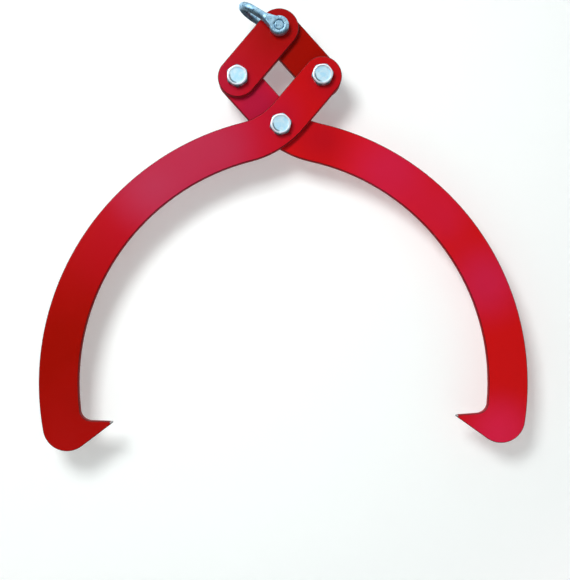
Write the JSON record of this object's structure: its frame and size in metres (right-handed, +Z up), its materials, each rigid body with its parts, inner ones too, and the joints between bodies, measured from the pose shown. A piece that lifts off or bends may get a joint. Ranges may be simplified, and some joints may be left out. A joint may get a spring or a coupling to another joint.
{
  "type": "log grapple",
  "caption": "Self-closing hanging log tongs: crossed hooked flat arms, short upper links on hexagon pivot bolts, and a bow shackle that draws the hooks together when lifted.",
  "frame": {"origin": "centre of the shackle pin, midway between the two plate layers", "axes": "+Z up as the tongs hang, +X to the right seen from the bolt heads' side, -Y towards that front side; the joint axes all run along Y"},
  "size_m": [0.5976, 0.0715, 0.5462],
  "materials": {
    "painted_red": "gloss red paint",
    "zinc_plated": "bright zinc plating, slightly blue",
    "nylon": "natural nylon"
  },
  "bodies": {
    "hanging_pin": {"shackle_pin": "zinc_plated"},
    "bow": {"shackle_bow": "zinc_plated"},
    "left_link": {"left_link": "painted_red", "left_bolt": "zinc_plated", "left_washer": "zinc_plated", "left_nut": "zinc_plated", "left_nut_ring": "nylon"},
    "right_link": {"right_link": "painted_red", "right_bolt": "zinc_plated", "right_washer": "zinc_plated", "right_nut": "zinc_plated", "right_nut_ring": "nylon"},
    "left_arm": {"left_arm": "painted_red", "pivot_bolt": "zinc_plated", "pivot_washer": "zinc_plated", "pivot_nut": "zinc_plated", "pivot_nut_ring": "nylon"},
    "right_arm": {"right_arm": "painted_red"}
  },
  "joints": [
    {"name": "bow_swing", "type": "hinge", "parent": "hanging_pin", "child": "bow", "pos_m": [0, 0, 0], "axis": [0, 1, 0], "range_deg": [-28, 142]},
    {"name": "jaw_opening", "type": "hinge", "parent": "hanging_pin", "child": "left_link", "pos_m": [0, 0, 0], "axis": [0, 1, 0], "range_deg": [-22, 16.6]},
    {"name": "right_link_turn", "type": "hinge", "parent": "hanging_pin", "child": "right_link", "pos_m": [0, 0, 0], "axis": [0, 1, 0], "range_deg": [-16.6, 22]},
    {"name": "right_arm_turn", "type": "hinge", "parent": "left_link", "child": "right_arm", "pos_m": [-0.05183, 0, -0.05962], "axis": [0, 1, 0], "range_deg": [-33.2, 44]},
    {"name": "left_arm_turn", "type": "hinge", "parent": "right_link", "child": "left_arm", "pos_m": [0.05183, 0, -0.05962], "axis": [0, 1, 0], "range_deg": [-44, 33.2]}
  ],
  "couplings": [
    {"joint": "right_link_turn", "follows": "jaw_opening", "ratio": -1},
    {"joint": "right_arm_turn", "follows": "jaw_opening", "ratio": -2},
    {"joint": "left_arm_turn", "follows": "jaw_opening", "ratio": 2}
  ]
}
